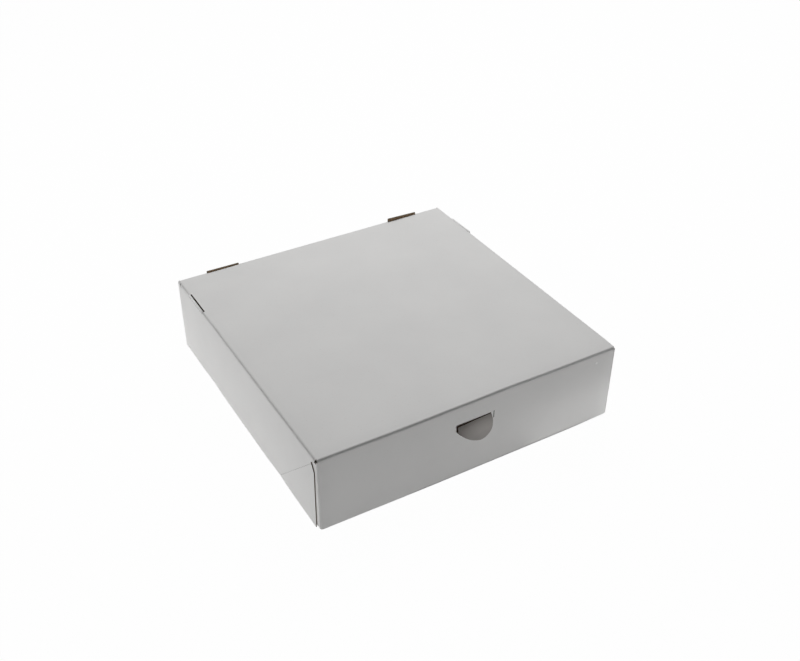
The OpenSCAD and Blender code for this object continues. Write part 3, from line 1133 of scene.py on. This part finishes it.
# %% Place the side tabs
LEFT_RISE, RIGHT_RISE = 0.35 * MM, 0.4 * MM
LEFT_THICK, LEFT_FOOT = 0.75 * MM, 1.5 * MM
RIGHT_THICK, RIGHT_FOOT, RIGHT_OUT = 1.05 * MM, 1.4 * MM, 0.05 * MM
RIGHT_SINK, SINK_FROM = 0.4 * MM, 0.5 * MM

left_tab = vent_tab("left_tab", (-HALF, VENT_NEAR, TOP - LEFT_FOOT),
                    (-HALF + LEFT_THICK, VENT_FAR, TOP + LEFT_RISE), (-1, 0, 0), bare=False)
right_tab = vent_tab("right_tab", (HALF - RIGHT_THICK, VENT_NEAR, TOP - RIGHT_FOOT),
                     (HALF + RIGHT_OUT, VENT_FAR, TOP + RIGHT_RISE), (1, 0, 0), bare=False)


def sink(p):
    """Lets the top of the right tab sink towards the rear."""
    if p.z < TOP - SINK_FROM:
        return None
    return (p.x, p.y, p.z - RIGHT_SINK * (p.y - VENT_NEAR) / (VENT_FAR - VENT_NEAR))


edit(right_tab)
shape(right_tab, sink)
leave_edit()

# %% Place the rear tabs
REAR_FOOT = 1.3 * MM
REAR_LEFT_RISE, REAR_LEFT_TILT = 0.8 * MM, 0.25 * MM
REAR_RIGHT_RISE, REAR_RIGHT_TILT = 1.55 * MM, 0.7 * MM
REAR_RIGHT_IN, REAR_RIGHT_OUT = 1.1 * MM, 0.1 * MM

rear_left_tab = vent_tab(
    "rear_left_tab", (-VENT_FAR, HALF - BOARD, TOP - REAR_FOOT),
    (-VENT_NEAR, HALF, TOP + REAR_LEFT_RISE), (0, 1, 0), REAR_LEFT_TILT)
rear_right_tab = vent_tab(
    "rear_right_tab", (VENT_NEAR, HALF - REAR_RIGHT_IN, TOP - REAR_FOOT),
    (VENT_FAR, HALF + REAR_RIGHT_OUT, TOP + REAR_RIGHT_RISE), (0, 1, 0), REAR_RIGHT_TILT)

# %% [markdown]
# ## Tray
# The tray is the bottom with four walls folded up. The ends of its side walls turn in as flaps
# that are glued inside the front and rear walls. The rear wall carries the lid on its top fold.
# Loose boards could be stood together, but the folds would be missing, so it is folded from one
# grid as the lid is.

# %% Fold the skins of the tray
# Each fold is pairs of millimetres from its sharp corner, as for the lid
BASE_OUT = [(1.6, 0.0), (0.9, 0.12), (0.4, 0.4), (0.12, 0.9), (0.0, 1.6)]
BASE_IN = [(2.4, 1.2), (2.0, 1.25), (1.6, 1.55), (1.3, 1.95), (1.2, 2.4)]
FLAP_OUT = [(0.9, 0.0), (0.5, 0.08), (0.2, 0.25), (0.05, 0.55), (0.0, 0.9)]
FLAP_IN = [(1.7, 1.2), (1.5, 1.25), (1.35, 1.35), (1.25, 1.5), (1.2, 1.7)]
TRAY_CELLS = 20
WALL_ROWS, GLUED_ROWS = 4, 6
FLAP_LENGTH = 40 * MM
FLAP_LOW = 2.5 * MM
FLAP_HIGH = TRAY_TOP - 2.5 * MM
GLUE = 0.1 * MM
FLAP_DEPTH = 1.3 * MM
OFF_WALL = 0.04 * MM
FLAP_FOOT = BOARD + 0.15 * MM
WALL_TOP_OUT, WALL_TOP_IN = TOP - FOLD_TURN, TOP - 1.7 * MM
FRONT_FLAP = TRAY_FRONT + BOARD + GLUE
REAR_FLAP = HALF - BOARD - GLUE


def fold_walls(skin, depth, base, edge, front, rear, rear_top):
    """Folds up the two sides, the front and the rear wall, which is wider above its foot."""
    above = base[-1][1]
    levels = [FLAP_LOW] + spread(FLAP_LOW, FLAP_HIGH, WALL_ROWS) + [TRAY_TOP]
    for side in (-1, 1):
        pick_border(skin, lambda p: side * p.x > edge - TINY)
        extrude(round_fold(base, (side, 0, 0), (0, 0, 1)))
        extrude(rows_to(2, above, levels))
    pick_border(skin, lambda p: p.y < front + TINY and p.z < depth + TINY
                and abs(p.x) < edge + TINY)
    extrude(round_fold(base, (0, -1, 0), (0, 0, 1)))
    extrude(rows_to(2, above, levels))
    pick_border(skin, lambda p: p.y > rear - TINY and p.z < depth + TINY
                and abs(p.x) < edge + TINY)
    extrude(round_fold(base, (0, 1, 0), (0, 0, 1)))
    extrude(rows_to(2, above, levels[:1]))
    widen(REAR_HALF / edge)
    extrude(rows_to(2, levels[0], levels[1:-1] + [rear_top]))


def fold_flaps(skin, wall, flap, front, rear):
    """Turns in the ends of the sides as flaps, and lowers their feet to the base."""
    front_turn, rear_turn = FRONT_FLAP + flap[0][0], REAR_FLAP - flap[0][0]

    def set_back(p):
        if abs(p.x) < wall - TINY or abs(p.x) > wall + TINY or p.z < FLAP_LOW - TINY:
            return None
        if abs(p.y - front) < TINY:
            return (p.x, front_turn, p.z)
        if abs(p.y - rear) < TINY:
            return (p.x, rear_turn, p.z)
        return None

    def lower(p):
        at_front = FRONT_FLAP - TINY < p.y < FRONT_FLAP + FLAP_DEPTH
        at_rear = REAR_FLAP - FLAP_DEPTH < p.y < REAR_FLAP + TINY
        at_foot = abs(p.z - FLAP_LOW) < TINY and abs(p.x) < wall - OFF_WALL
        return (p.x, p.y, FLAP_FOOT) if at_foot and (at_front or at_rear) else None

    shape(skin, set_back)
    for side in (-1, 1):
        for way, place in ((-1, front_turn), (1, rear_turn)):
            pick_border(skin, lambda p: abs(p.x - side * wall) < TINY
                        and abs(p.y - place) < TINY
                        and FLAP_LOW - TINY < p.z < FLAP_HIGH + TINY)
            extrude(round_fold(flap, (0, way, 0), (-side, 0, 0)))
            extrude(rows_to(0, 0.0, spread(0.0, -side * FLAP_LENGTH, GLUED_ROWS)))
    shape(skin, lower)


def tray_skin(name, depth, base, flap, rear_top):
    base, flap = in_mm(base), in_mm(flap)
    inset = base[0][0]
    edge, front, rear = TRAY_HALF - inset, TRAY_FRONT + inset, HALF - inset
    skin = start_skin(name, (-edge, front), (edge, rear), depth, TRAY_CELLS, TRAY_CELLS)
    fold_walls(skin, depth, base, edge, front, rear, rear_top)
    fold_flaps(skin, TRAY_HALF - depth, flap, front, rear)
    return skin


tray_outer = tray_skin("tray_sheet", 0.0, BASE_OUT, FLAP_OUT, WALL_TOP_OUT)
leave_edit()
tray_inner = tray_skin("tray_inner", BOARD, BASE_IN, FLAP_IN, WALL_TOP_IN)
tray_sheet = close_board(tray_outer, tray_inner, "tray_sheet")
smooth(tray_sheet)

# %% [markdown]
# ## Rear fold
# The lid and the rear wall are one sheet. Between the slits of the rear tabs the sheet runs round
# the fold, so three strips join the two boards there. They could belong to the lid, but then the
# fold would tear open when the lid turns. So they are a piece of their own, which stays as made.

# %% Bend the rear fold
STRIP_CELL, STRIP_ROWS = 8 * MM, 10
STRIP_THICK = 0.35 * MM
STRIP_GROOVE = 0.22 * MM
STRIP_SMOOTH = 60
SLIT = 0.4 * MM
FACES_OUT = 0.5


def fold_strip(x0, x1):
    """A strip round a quarter turn, from the top of the rear wall to the rear edge of the lid."""
    columns = max(2, int((x1 - x0) / STRIP_CELL))
    strip = start_skin("rear_fold", (x0, 0.0), (x1, 1.0), 0.0, columns, STRIP_ROWS)

    def bend(p):
        angle = math.pi / 2 * p.y
        radius = FOLD_TURN - STRIP_GROOVE * math.sin(math.pi * p.y) ** 4
        y = HALF - FOLD_TURN + radius * math.cos(angle)
        z = TOP - FOLD_TURN + radius * math.sin(angle)
        return (p.x, y, z)

    shape(strip, bend)
    extrude_all((0, -STRIP_THICK, -STRIP_THICK))
    for face in strip.data.polygons:
        outside = face.normal.y + face.normal.z > FACES_OUT
        face.material_index = SCORE if outside else KRAFT
    strip.data.uv_layers.new(name="edge")
    return strip


rear_fold = join([
    fold_strip(-REAR_HALF, -VENT_FAR - SLIT),
    fold_strip(-VENT_NEAR + SLIT, VENT_NEAR - SLIT),
    fold_strip(VENT_FAR + SLIT, REAR_HALF),
])
smooth(rear_fold, STRIP_SMOOTH)
print("rear fold", len(rear_fold.data.polygons), "faces")

# %% [markdown]
# ## Put the pieces on their bodies
# The lid's pieces ride on the lid and the tray's on the tray, and the rear fold stays between
# them. Each piece is parented to an empty named for its body, and the imported solids are hidden.

# %% Ride and replace
for piece in (lid_sheet, thumb_tab, left_tab, right_tab):
    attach(piece, "lid")
for piece in (tray_sheet, rear_left_tab, rear_right_tab):
    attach(piece, "tray")
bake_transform(rear_fold)
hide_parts("lid")
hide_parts("tray")
